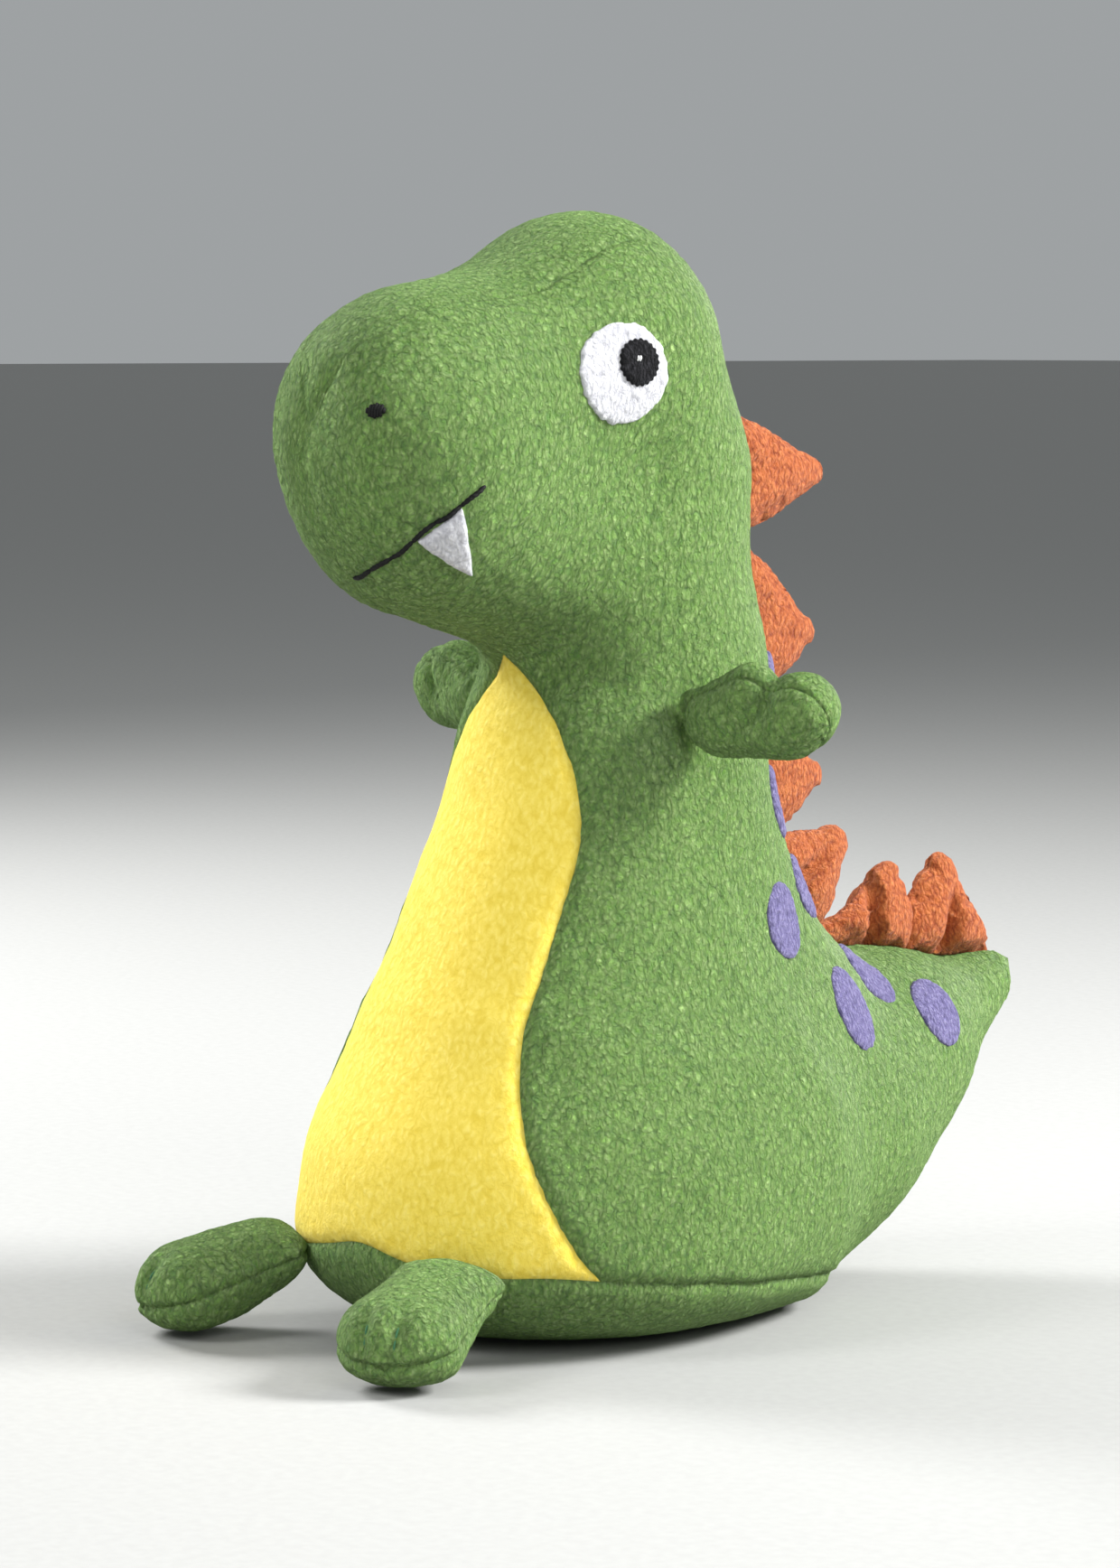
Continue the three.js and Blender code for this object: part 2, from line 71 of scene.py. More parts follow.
RIBS = np.array([
    (154, 91, 155, 68), (140, 98, 149, 50), (118, 99, 138, 35), (98, 100, 112, 14),
    (84, 105, 78, 0), (76, 112, 40, -5), (70, 120, 0, -8), (66, 128, -36, -6),
    (64, 133, -58, 2), (62, 138, -70, 20), (60, 144, -74, 40), (58, 150, -74, 62),
    (54, 165, -56, 105), (52, 185, -32, 148), (51, 205, -18, 172), (50, 228, -20, 178),
    (46, 250, -26, 180), (34, 276, -36, 182), (5, 292, -44, 184), (-22, 284, -54, 186),
    (-50, 270, -64, 190), (-72, 258, -76, 200), (-85, 245, -86, 215),
], float)

SEAT_SEAM_HEIGHT, SEAT_SEAM_SLOPE = 17, -0.12
BELLY_EDGE = [
    (0, 177), (6, 172), (13, 166), (18.5, 160), (22, 154), (25.5, 147), (28, 139), (30, 131),
    (31, 122), (32, 104), (33, 88), (36, 74), (42, 60), (50, 44), (60, 20), (66, 0),
]
GUSSET_EDGE = [(0, 52), (10, 34), (20, 15), (23, -15), (20, -45), (16, -70), (9, -86), (0, -94)]
GUSSET_LOWEST = 234

# ------------------------------------------------------------------ forms


def lattice_noise(points, size, seed=0):
    """Smooth noise from -1 to 1 with features of the given size."""
    q = points / size + seed * 17.31
    cell = np.floor(q).astype(np.int64)
    f = q - cell
    f = f * f * (3 - 2 * f)
    total = np.zeros(len(points))
    for corner in range(8):
        d = np.array([corner & 1, corner >> 1 & 1, corner >> 2 & 1])
        c = cell + d
        h = (c[:, 0] * 73856093) ^ (c[:, 1] * 19349663) ^ (c[:, 2] * 83492791)
        h = ((h ^ (h >> 13)) * 1274126177) & 0x7FFFFFFF
        value = ((h ^ (h >> 15)) & 0xFFFF) / 32767.5 - 1
        total += value * np.prod(np.where(d, f, 1 - f), axis=1)
    return total


def form_distance(form, p):
    """Distance to a form of balls and limbs, each melted into those before it with a fillet."""
    distance = None
    for piece in form:
        if len(piece) == 3:
            fillet, centre, radii = piece
            q = (p - centre) / radii
            reach = np.linalg.norm(q, axis=1)
            new = reach * (reach - 1) / np.maximum(np.linalg.norm(q / radii, axis=1), 1e-9)
        else:
            fillet, start, start_radius, end, end_radius = piece
            line = np.subtract(end, start)
            along = np.clip((p - start) @ line / (line @ line), 0, 1)
            nearest = start + along[:, None] * line
            radius = start_radius + along * (end_radius - start_radius)
            new = np.linalg.norm(p - nearest, axis=1) - radius
        if distance is None:
            distance = new
        else:
            blend = np.maximum(fillet - np.abs(distance - new), 0)
            distance = np.minimum(distance, new) - blend * blend / (4 * fillet)
    return distance


def floored(distance, height, fillet):
    """Keeps a form above the height where `height` is zero, with a rounded edge."""
    blend = np.maximum(fillet - np.abs(distance + height), 0)
    return np.maximum(distance, -height) + blend * blend / (4 * fillet)


def body_distance(p):
    return floored(form_distance(BODY_FORM, p), p[:, 2], FLOOR_FILLET)


def cast_out(distance_at, origins, directions, level=0.0):
    """Where rays that start inside a form pass the given level."""
    inside = np.zeros(len(origins))
    walking = np.arange(len(origins))
    step = 3.0
    while len(walking):
        p = origins[walking] + directions[walking] * (inside[walking] + step)[:, None]
        walking = walking[distance_at(p) < level]
        inside[walking] += step
    outside = inside + step
    for _ in range(13):
        middle = (inside + outside) / 2
        low = distance_at(origins + directions * middle[:, None]) < level
        inside = np.where(low, middle, inside)
        outside = np.where(low, outside, middle)
    return origins + directions * inside[:, None]


def normals_of(distance_at, p):
    """The direction in which the distance grows fastest, at each point."""
    h = 0.4
    slope = [distance_at(p + h * axis) - distance_at(p - h * axis) for axis in np.eye(3)]
    normal = np.stack(slope, axis=1)
    return normal / np.linalg.norm(normal, axis=1)[:, None]


def drop_on(distance_at, p, level=0.0):
    """Moves points straight to the surface at a level."""
    p = np.array(p, float)
    for _ in range(6):
        p = p + normals_of(distance_at, p) * (level - distance_at(p))[:, None]
    return p


def catmull(points, t):
    """Smooth curve through points, for t from 0 to 1."""
    points = np.asarray(points, float)
    last = len(points) - 1
    x = np.clip(np.asarray(t) * last, 0, last - 1e-9)
    i = np.floor(x).astype(int)
    f = (x - i)[:, None]
    p1, p2 = points[i], points[i + 1]
    p0, p3 = points[np.maximum(i - 1, 0)], points[np.minimum(i + 2, last)]
    return 0.5 * (
        2 * p1 + (p2 - p0) * f + (2 * p0 - 5 * p1 + 4 * p2 - p3) * f**2
        + (3 * p1 - p0 - 3 * p2 + p3) * f**3
    )


def evenly(points, count):
    """Points at even distances along a line of points."""
    points = np.asarray(points, float)
    steps = np.linalg.norm(np.diff(points, axis=0), axis=1)
    length = np.concatenate([[0], np.cumsum(steps)])
    places = np.linspace(0, length[-1], count)
    return np.stack([np.interp(places, length, points[:, i]) for i in range(points.shape[1])], axis=1)


# ------------------------------------------------------------------ meshes


def ball_faces(rows, columns):
    """Faces of a closed ball of rows x columns points, then its two poles."""
    grid = np.arange(rows * columns).reshape(rows, columns)
    turned = np.roll(grid, -1, axis=1)
    quads = np.stack([grid[:-1], turned[:-1], turned[1:], grid[1:]], axis=-1).reshape(-1, 4)
    faces = quads.tolist()
    first, last = rows * columns, rows * columns + 1
    faces += [[first, b, a] for a, b in zip(grid[0].tolist(), turned[0].tolist())]
    faces += [[last, a, b] for a, b in zip(grid[-1].tolist(), turned[-1].tolist())]
    return faces


def fans(faces):
    """The triangles of all faces."""
    return np.array([(f[0], a, b) for f in faces for a, b in zip(f[1:-1], f[2:])])


def mesh_normals(points, faces):
    """The direction out of the mesh at each point."""
    a, b, c = (points[corner] for corner in fans(faces).T)
    total = np.zeros_like(points)
    for corner in fans(faces).T:
        np.add.at(total, corner, np.cross(b - a, c - a))
    return total / np.maximum(np.linalg.norm(total, axis=1), 1e-12)[:, None]


def facing_out(points, faces):
    """The faces of a closed form, turned round if they face inwards."""
    a, b, c = (points[corner] for corner in fans(faces).T)
    volume = np.einsum("ij,ij->", a, np.cross(b, c))
    return faces if volume > 0 else [face[::-1] for face in faces]


def make_object(name, points, faces, side=1, smooth=True):
    """A mesh object from points in millimetres. Side is -1 for the mirror image."""
    points = np.asarray(points, float) * (side, 1, 1)
    if smooth:
        faces = facing_out(points, faces)
    mesh = bpy.data.meshes.new(name)
    mesh.from_pydata((points * MM).tolist(), [], faces)
    mesh.validate()
    mesh.update()
    if smooth:
        mesh.shade_smooth()
    obj = bpy.data.objects.new(name, mesh)
    bpy.context.scene.collection.objects.link(obj)
    return obj


def split(points, faces, distance_at, snap):
    """Cuts faces along the line where distance_at is zero. Returns points, those below and above."""
    values = distance_at(points)
    near = np.abs(values) < snap
    h = 0.05
    slopes = [distance_at(points[near] + h * axis) - distance_at(points[near] - h * axis)
              for axis in np.eye(3)]
    slope = np.stack(slopes, axis=1) / (2 * h)
    length = np.maximum((slope**2).sum(axis=1), 0.05)
    points = points.copy()
    points[near] -= slope * (values[near] / length)[:, None]
    values[near] = 0
    values = values.tolist()
    new_points, cut, below, above = [], {}, [], []

    def cut_point(a, b):
        key = (min(a, b), max(a, b))
        if key not in cut:
            share = values[a] / (values[a] - values[b])
            cut[key] = len(points) + len(new_points)
            new_points.append(points[a] + (points[b] - points[a]) * share)
        return cut[key]

    for face in faces:
        sides = [values[i] for i in face]
        if min(sides) >= 0:
            above.append(face)
        elif max(sides) <= 0:
            below.append(face)
        else:
            low, high = [], []
            for a, b in zip(face, face[1:] + face[:1]):
                if values[a] <= 0:
                    low.append(a)
                if values[a] >= 0:
                    high.append(a)
                if values[a] * values[b] < 0:
                    middle = cut_point(a, b)
                    low.append(middle)
                    high.append(middle)
            if len(low) > 2:
                below.append(low)
            if len(high) > 2:
                above.append(high)
    if new_points:
        points = np.vstack([points, new_points])
    return points, below, above


def rim_of(faces):
    """Edges that only one face has, in that face's direction."""
    count = {}
    for face in faces:
        for a, b in zip(face, face[1:] + face[:1]):
            key = (min(a, b), max(a, b))
            count[key] = None if key in count else (a, b)
    return [edge for edge in count.values() if edge]


def shell(name, outer, inner, faces, side=1):
    """A closed piece of cloth between two layers of points that share the same faces."""
    used = np.unique(np.concatenate([np.array(face) for face in faces]))
    index = np.full(len(outer), -1)
    index[used] = np.arange(len(used))
    count = len(used)
    place = index.tolist()
    top = [[place[i] for i in face] for face in faces]
    bottom = [[i + count for i in reversed(face)] for face in top]
    sides = [[b, a, a + count, b + count] for a, b in rim_of(top)]
    return make_object(name, np.vstack([outer[used], inner[used]]), top + bottom + sides, side)


def distance_to_points(points, targets, reach):
    """Distance from each point to the nearest target, or reach where that is nearer."""
    tree = KDTree(len(targets))
    for i, target in enumerate(targets):
        tree.insert(target, i)
    tree.balance()
    low, high = targets.min(axis=0) - reach, targets.max(axis=0) + reach
    result = np.full(len(points), float(reach))
    near = ((points > low) & (points < high)).all(axis=1)
    for i in np.nonzero(near)[0]:
        result[i] = min(tree.find(points[i])[2], reach)
    return result


def outline_distance(edge, across, along):
    """Signed distance to a closed outline that is one edge and its mirror image, below 0 inside."""
    curve = catmull(edge, np.linspace(0, 1, 80))
    x = np.abs(across)
    best = np.full(len(x), 1e9)
    for a, b in zip(curve[:-1], curve[1:]):
        line = b - a
        t = np.clip(((x - a[0]) * line[0] + (along - a[1]) * line[1]) / (line @ line), 0, 1)
        best = np.minimum(best, np.hypot(x - a[0] - t * line[0], along - a[1] - t * line[1]))
    half = np.interp(along, curve[::-1, 1], curve[::-1, 0], left=-1, right=-1)
    return np.where(x < half, -best, best)


def seat_seam(p):
    """Height above the seat's seam, which rises between the feet and dips over each of them."""
    x, y, z = p.T
    in_front = np.clip(-y / 30 - 1, 0, 1)
    hump = 2.4 * np.exp(-(((x - 3) / 11) ** 2)) - 2.6 * np.exp(-(((np.abs(x) - 33) / 15) ** 2))
    return z - SEAT_SEAM_HEIGHT - SEAT_SEAM_SLOPE * y - hump * in_front


def belly_seam(p):
    """Below zero on the belly panel, in front of the middle plane."""
    return np.maximum(outline_distance(BELLY_EDGE, p[:, 0], p[:, 2]), p[:, 1])


def gusset_seam(p):
    """Below zero on the gusset, which reaches from the nape to the nose."""
    inside = outline_distance(GUSSET_EDGE, p[:, 0], p[:, 1])
    return np.maximum(inside, GUSSET_LOWEST - p[:, 2])


# ------------------------------------------------------------------ materials


def node_tree(name):
    material = bpy.data.materials.new(name)
    material.use_nodes = True
    tree = material.node_tree
    return material, tree, tree.nodes["Principled BSDF"]


def add_node(tree, kind, **values):
    node = tree.nodes.new(kind)
    for key, value in values.items():
        if key in node.inputs:
            node.inputs[key].default_value = value
        else:
            setattr(node, key, value)
    return node


def ramp(tree, source, stops):
    node = tree.nodes.new("ShaderNodeValToRGB")
    elements = node.color_ramp.elements
    while len(elements) < len(stops):
        elements.new(0.5)
    for element, (position, colour) in zip(elements, stops):
        element.position = position
        element.color = (*colour, 1)
    tree.links.new(source, node.inputs[0])
    return node.outputs[0]


def maths(tree, operation, a, b):
    node = tree.nodes.new("ShaderNodeMath")
    node.operation = operation
    for socket, value in zip(node.inputs, (a, b)):
        if isinstance(value, (int, float)):
            socket.default_value = value
        else:
            tree.links.new(value, socket)
    return node.outputs[0]


def pile_material(name, dark, middle, light, clump=1.5, relief=0.9, sheen=0.25, stretch=0.55):
    """Brushed cloth: leaning clumps of fibre, coloured with painted highlight on their tips and
    painted shade in the gaps between them, from the same heights as the bump.
    """
    material, tree, shader = node_tree(name)
    link = tree.links.new
    place = tree.nodes.new("ShaderNodeTexCoord").outputs["Object"]
    scale = 1 / (clump * MM)
    wander = add_node(tree, "ShaderNodeTexNoise", Scale=scale * 0.45, Detail=2.0)
    link(place, wander.inputs["Vector"])
    shift = add_node(tree, "ShaderNodeVectorMath", operation="MULTIPLY_ADD")
    link(wander.outputs["Color"], shift.inputs[0])
    shift.inputs[1].default_value = (2.2 * clump * MM,) * 3
    link(place, shift.inputs[2])
    stretched = add_node(tree, "ShaderNodeVectorMath", operation="MULTIPLY")
    link(shift.outputs[0], stretched.inputs[0])
    stretched.inputs[1].default_value = (1, 1, stretch)
    clumps = add_node(tree, "ShaderNodeTexVoronoi", feature="SMOOTH_F1", Scale=scale, Smoothness=0.25)
    link(stretched.outputs[0], clumps.inputs["Vector"])
    tufts = add_node(tree, "ShaderNodeTexNoise", Scale=scale * 1.3, Detail=4.0, Roughness=0.6)
    link(stretched.outputs[0], tufts.inputs["Vector"])
    fibres = add_node(tree, "ShaderNodeTexNoise", Scale=scale * 5.5, Detail=3.0, Roughness=0.7)
    link(stretched.outputs[0], fibres.inputs["Vector"])
    mottle = add_node(tree, "ShaderNodeTexNoise", Scale=scale * 0.12, Detail=2.0)
    link(place, mottle.inputs["Vector"])
    hollow = maths(tree, "MULTIPLY", clumps.outputs["Distance"], -0.7)
    height = maths(tree, "ADD", hollow, tufts.outputs["Fac"])
    height = maths(tree, "ADD", height, maths(tree, "MULTIPLY", fibres.outputs["Fac"], 0.5))
    # colour follows the clumps' height: painted shade in the hollows, painted highlight on the tips,
    # plus a little random mottle
    shade_and_mottle = maths(tree, "ADD", height, maths(tree, "MULTIPLY", mottle.outputs["Fac"], 0.1))
    colour = ramp(tree, shade_and_mottle, [(0.12, dark), (0.48, middle), (0.84, light)])
    link(colour, shader.inputs["Base Color"])
    raised = add_node(tree, "ShaderNodeBump", Strength=relief, Distance=clump * 2.0 * MM)
    link(height, raised.inputs["Height"])
    link(raised.outputs[0], shader.inputs["Normal"])
    shader.inputs["Roughness"].default_value = 0.9
    shader.inputs["Specular IOR Level"].default_value = 0.15
    shader.inputs["Sheen Weight"].default_value = sheen
    shader.inputs["Sheen Roughness"].default_value = 0.4
    shader.inputs["Sheen Tint"].default_value = (*(0.5 + 0.5 * c for c in light), 1)
    return material


def thread_material(name, dark, light):
    material, tree, shader = node_tree(name)
    link = tree.links.new
    place = tree.nodes.new("ShaderNodeTexCoord").outputs["Object"]
    fibres = add_node(tree, "ShaderNodeTexNoise", Scale=2600.0, Detail=4.0)
    link(place, fibres.inputs["Vector"])
    link(ramp(tree, fibres.outputs["Fac"], [(0.35, dark), (0.7, light)]), shader.inputs["Base Color"])
    raised = add_node(tree, "ShaderNodeBump", Strength=0.5, Distance=0.15 * MM)
    link(fibres.outputs["Fac"], raised.inputs["Height"])
    link(raised.outputs[0], shader.inputs["Normal"])
    shader.inputs["Roughness"].default_value = 0.7
    shader.inputs["Specular IOR Level"].default_value = 0.2
    return material


# each cloth's dark and light colours are the painted shade in the pile's hollows and the painted
# highlight on its tips
GREEN = pile_material("green_fleece", (0.12, 0.31, 0.036), (0.26, 0.51, 0.085), (0.5, 0.74, 0.24),
                      clump=1.15, relief=1.3, sheen=0.45)
YELLOW = pile_material("yellow_fleece", (0.8, 0.6, 0.07), (0.88, 0.69, 0.11), (0.94, 0.77, 0.17),
                       clump=1.6, relief=0.35, sheen=0.15)
ORANGE = pile_material("orange_fleece", (0.27, 0.045, 0.012), (0.5, 0.125, 0.033), (0.68, 0.23, 0.075),
                       clump=1.1, relief=0.8, sheen=0.3)
PURPLE = pile_material("purple_fleece", (0.1, 0.085, 0.22), (0.2, 0.175, 0.38), (0.34, 0.31, 0.53),
                       clump=1.0, relief=0.9, sheen=0.3)
WHITE = pile_material("white_felt", (0.5, 0.5, 0.54), (0.69, 0.69, 0.73), (0.82, 0.82, 0.84),
                      clump=1.1, relief=0.7)
BLACK = pile_material("black_felt", (0.003, 0.003, 0.004), (0.01, 0.01, 0.012), (0.035, 0.035, 0.04),
                      clump=0.9, sheen=0.05)
FIBRE = pile_material("fibre_stuffing", (0.6, 0.6, 0.58), (0.8, 0.8, 0.78), (0.92, 0.92, 0.9), clump=3)
BLACK_THREAD = thread_material("black_thread", (0.002, 0.002, 0.002), (0.014, 0.014, 0.014))
WHITE_THREAD = thread_material("white_thread", (0.6, 0.6, 0.6), (0.9, 0.9, 0.9))
GREEN_THREAD = thread_material("green_thread", (0.03, 0.12, 0.06), (0.1, 0.26, 0.12))


def finish_piece(obj, material, slot, body, *nodes):
    """Gives a piece its material and body, and hides the CAD nodes that it replaces. The slot is not
    used.
    """
    obj.data.materials.append(material)
    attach(obj, body)
    if nodes:
        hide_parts(*nodes)


# ------------------------------------------------------------------ camera


def look_at(obj, target):
    direction = Vector(target) - obj.location
    obj.rotation_euler = direction.to_track_quat("-Z", "Y").to_euler()


def make_camera():
    azimuth, pitch = math.radians(50), math.radians(5.22)
    distance, height, aside = 1.290, 0.260, -0.0048
    right = Vector((math.cos(azimuth), math.sin(azimuth), 0))
    ahead = Vector((-math.sin(azimuth), math.cos(azimuth), 0))
    data = bpy.data.cameras.new("camera")
    camera = bpy.data.objects.new("camera", data)
    bpy.context.scene.collection.objects.link(camera)
    camera.location = -ahead * distance + right * aside + Vector((0, 0, height))
    look_at(camera, camera.location + ahead * math.cos(pitch) - Vector((0, 0, math.sin(pitch))))
    data.sensor_fit = "VERTICAL"
    data.sensor_height = 36
    data.lens = 112.15
    bpy.context.scene.camera = camera


# ------------------------------------------------------------------ body

SHOULDER = np.array((38.7, 3, 161.5))
HEEL = np.array((32.8, -67.5, 22))
END_WAYS = np.array([(0, 0.93, 0.37), (0, -1, 0)])  # out through the tail's tip and the nose

MOUTH = [
    (2, -76.6, 198.8), (7.5, -76.8, 200.6), (13, -76.6, 202.6), (19.9, -74.8, 206.7),
    (24.3, -73, 210.1), (26.7, -71.2, 213), (29.8, -68.2, 215.6), (32.5, -64.6, 218.8),
    (34.2, -62.4, 220.8), (35.3, -60.2, 223.1),
]
MOUTH_STITCH, MOUTH_THREAD = 8.6, 0.72  # length of one stitch and radius of the thread


def mouth_path(count):
    return drop_on(body_distance, evenly(catmull(MOUTH, np.linspace(0, 1, 200)), count))


MOUTH_LINE = mouth_path(60)


def body_lumps(p):
    """How far the filling pushes the skin out or lets it in, without the seams."""
    lumps = 0.5 * lattice_noise(p, 24, 1) + 0.2 * lattice_noise(p, 11, 2)
    for side in (-1, 1):
        shoulder = np.linalg.norm(p - SHOULDER * (side, 1, 1), axis=1)
        lumps -= 1.6 * np.exp(-((shoulder / 8.5) ** 2))
    from_mouth = distance_to_points(p, MOUTH_LINE, 6)
    return lumps - 0.5 * np.exp(-((from_mouth / 1.8) ** 2))


def nap(p, amount, seed):
    """The cloth's own clumps of pile."""
    return amount * (0.65 * lattice_noise(p, 2.3, seed) + 0.35 * lattice_noise(p, 1.2, seed + 1))


def ribs_at(t):
    """The middle of each rib and its way towards the back, in y and z, for t from 0 to 1."""
    back, belly = catmull(RIBS[:, :2], t), catmull(RIBS[:, 2:], t)
    return (back + belly) / 2, (back - belly) / np.linalg.norm(back - belly, axis=1)[:, None]


def body_skin(rows, columns, level=0.0):
    """The body's skin at a level: a ring of points round each of many ribs, then both ends."""
    centre, spread = ribs_at(np.linspace(0, 1, rows))
    angle = np.linspace(0, 2 * np.pi, columns, endpoint=False)
    x = np.broadcast_to(np.sin(angle), (rows, columns))
    yz = spread[:, None, :] * np.cos(angle)[None, :, None]
    directions = np.concatenate([x[..., None], yz], axis=2).reshape(-1, 3)
    origins = np.repeat(np.column_stack([np.zeros(rows), centre]), columns, axis=0)
    ends = np.column_stack([np.zeros(2), centre[[0, -1]]])
    origins, directions = np.vstack([origins, ends]), np.vstack([directions, END_WAYS])
    return cast_out(body_distance, origins, directions, level)


def make_body():
    points = body_skin(BODY_ROWS, BODY_COLUMNS)
    faces = ball_faces(BODY_ROWS, BODY_COLUMNS)
    snap = 0.3  # points this near to a seam move onto it
    points, base, rest = split(points, faces, seat_seam, snap)
    points, belly, rest = split(points, rest, belly_seam, snap)
    points, gusset, rest = split(points, rest, gusset_seam, snap)
    points, right, left = split(points, rest, lambda p: p[:, 0], snap)
    panels = {
        "base_panel": (base, GREEN, "green_fleece"),
        "belly_panel": (belly, YELLOW, "yellow_fleece"),
        "head_gusset": (gusset, GREEN, "green_fleece"),
        "left_side_panel": (left, GREEN, "green_fleece"),
        "right_side_panel": (right, GREEN, "green_fleece"),
    }
    rims = {}
    for name, (faces_of, _, _) in panels.items():
        ends = np.array(rim_of(faces_of))
        rims[name] = np.vstack([points[ends[:, 0]], points[ends].mean(axis=1)])
    from_seam = distance_to_points(points, np.vstack(list(rims.values())), 9)
    from_belly = distance_to_points(points, rims["belly_panel"], 9)
    from_seat = distance_to_points(points, rims["base_panel"], 9)
    normals = normals_of(body_distance, points)
    floor = np.clip((points[:, 2] - 0.3) / 4, 0, 1)
    lumps = body_lumps(points)
    puckers = lattice_noise(points, 5.5, 5) * 0.45 * np.exp(-((from_seam / 4.5) ** 2))
    groove = 0.55 * np.exp(-((from_seam / 1.1) ** 2))
    on_muzzle = np.clip((-points[:, 1] - 42) / 16, 0, 1) * np.clip((points[:, 2] - 190) / 10, 0, 1)
    puckers *= 1 - on_muzzle
    groove *= 1 - 0.85 * on_muzzle
    deep = np.minimum(from_belly, from_seat)
    groove = np.maximum(groove, SEAM_DEPTH * np.exp(-((deep / SEAM_WIDTH) ** 2)))
    for name, (faces_of, material, slot) in panels.items():
        pile = BELLY_NAP_RISE if name == "belly_panel" else BODY_NAP_RISE
        rise = (lumps + puckers + nap(points, pile, 11)) * floor - groove * np.clip(floor, 0.15, 1)
        outer = points + normals * rise[:, None]
        outer[:, 2] = np.maximum(outer[:, 2], 0.0)
        inner = points - normals * FLEECE
        panel = shell(name + "_cloth", outer, inner, faces_of)
        finish_piece(panel, material, slot, "body", name)


def make_filling():
    rows, columns = 60, 48
    p = body_skin(rows, columns, BODY_FILLING_LEVEL)
    p += normals_of(body_distance, p) * (0.5 * lattice_noise(p, 6, 9) - 0.5)[:, None]
    filling = make_object("body_filling", p, ball_faces(rows, columns))
    finish_piece(filling, FIBRE, "fibre_stuffing", "body", "body_stuffing")


# ------------------------------------------------------------------ thread


def strand(path, out, radius, pitch=3.0, sides=10):
    """A closed two-ply thread along a path, where out is the skin's direction at each point."""
    path, out = np.asarray(path, float), np.asarray(out, float)
    tangent = np.gradient(path, axis=0)
    across = np.cross(tangent, out)
    across /= np.linalg.norm(across, axis=1)[:, None]
    lift = np.cross(across, tangent)
    lift /= np.linalg.norm(lift, axis=1)[:, None]
    steps = np.linalg.norm(np.diff(path, axis=0), axis=1)
    length = np.concatenate([[0], np.cumsum(steps)])
    angle = np.arange(sides) * 2 * np.pi / sides
    lobes = 0.7 + 0.3 * np.abs(np.cos(angle - 2 * np.pi * length[:, None] / pitch))
    from_end = np.minimum(length, length[-1] - length)
    reach = radius * lobes * np.sqrt(np.clip(from_end / radius, 0.03, 1))[:, None]
    ring = np.cos(angle)[None, :, None] * lift[:, None]
    ring = ring + np.sin(angle)[None, :, None] * across[:, None]
    points = (path[:, None] + reach[..., None] * ring).reshape(-1, 3)
    points = np.vstack([points, path[[0, -1]]])
    return points, facing_out(points, ball_faces(len(path), sides))


def joined(parts):
    """Several point and face lists as one."""
    points, faces = [], []
    for some_points, some_faces in parts:
        start = sum(len(p) for p in points)
        points.append(some_points)
        faces += [[i + start for i in face] for face in some_faces]
    return np.vstack(points), faces


# ------------------------------------------------------------------ face and spots

EYE_AT, EYE_HALF = (36.8, -15.4, 250.9), (13.3, 13.6)
PUPIL_AT, PUPIL_HALF = (37.2, -11.6, 253.7), (5.7, 5.9)
HIGHLIGHT_AT = (37.2, -12.2, 254.6)
NOSTRILS = {"left_": (20.8, -83.4, 241.8), "right_": (29.5, -77.2, 241.8)}
NOSTRIL_HALF = (2.1, 1.7)
FELT, PUPIL_FELT, SPOT_FLEECE = 1.5, 1.0, 1.3  # thicknesses
TOOTH_CORNERS = [(32.4, -65.2, 218), (23.4, -73.2, 209.2), (25.2, -56.0, 199.6)]
SPOTS = [
    # place, lean in degrees, half of the width and length
    ((22, 46, 166.5), 0, (7, 10.5)), ((29.5, 45, 137), 8, (7, 10)), ((27, 55, 113), 15, (7, 9.5)),
    ((40, 37, 106.5), 5, (9, 10.4)), ((22, 83, 85.5), 30, (7, 11.5)),
    ((39, 64, 81), 12, (9.3, 12)), ((25.5, 107, 74), 16, (8.5, 10.8)),
]


def patch_frame(at, up):
    """A place on the skin, with the directions out of it, across it and up it."""
    centre = drop_on(body_distance, [at])[0]
    out = normals_of(body_distance, centre[None])[0]
    across = np.cross(up, out)
    across /= np.linalg.norm(across)
    return centre, out, across, np.cross(out, across)


def ellipse(half, count, ragged=0.0, seed=0, scallops=0):
    """A closed oval outline with a ragged edge, and waves between its edge stitches."""
    angle = np.linspace(0, 2 * np.pi, count, endpoint=False)
    outline = np.stack([half[0] * np.cos(angle), half[1] * np.sin(angle)], axis=1)
    outward = outline / np.linalg.norm(outline, axis=1)[:, None]
    flat = np.column_stack([outline, np.full(count, seed * 7.0)])
    wander = ragged * (lattice_noise(flat, 1.3, seed) + 0.8 * lattice_noise(flat, 5.0, seed + 1))
    wander += 0.22 * np.cos(scallops * angle) if scallops else 0
    return outline + outward * wander[:, None]


def rounded(corners, count, softness, ragged, seed):
    """A closed outline through corners, rounded a little."""
    outline = evenly(np.vstack([corners, corners[:1]]), count + 1)[:-1]
    spread = np.exp(-((np.arange(-count // 2, count // 2) / softness) ** 2))
    spread = np.fft.fft(np.fft.ifftshift(spread / spread.sum()))
    smooth = np.stack([np.fft.ifft(np.fft.fft(axis) * spread).real for axis in outline.T], axis=1)
    flat = np.column_stack([smooth, np.full(count, seed * 7.0)])
    wander = lattice_noise(flat, 1.2, seed)[:, None] * ragged
    outward = smooth / np.linalg.norm(smooth, axis=1)[:, None]
    return smooth + outward * wander


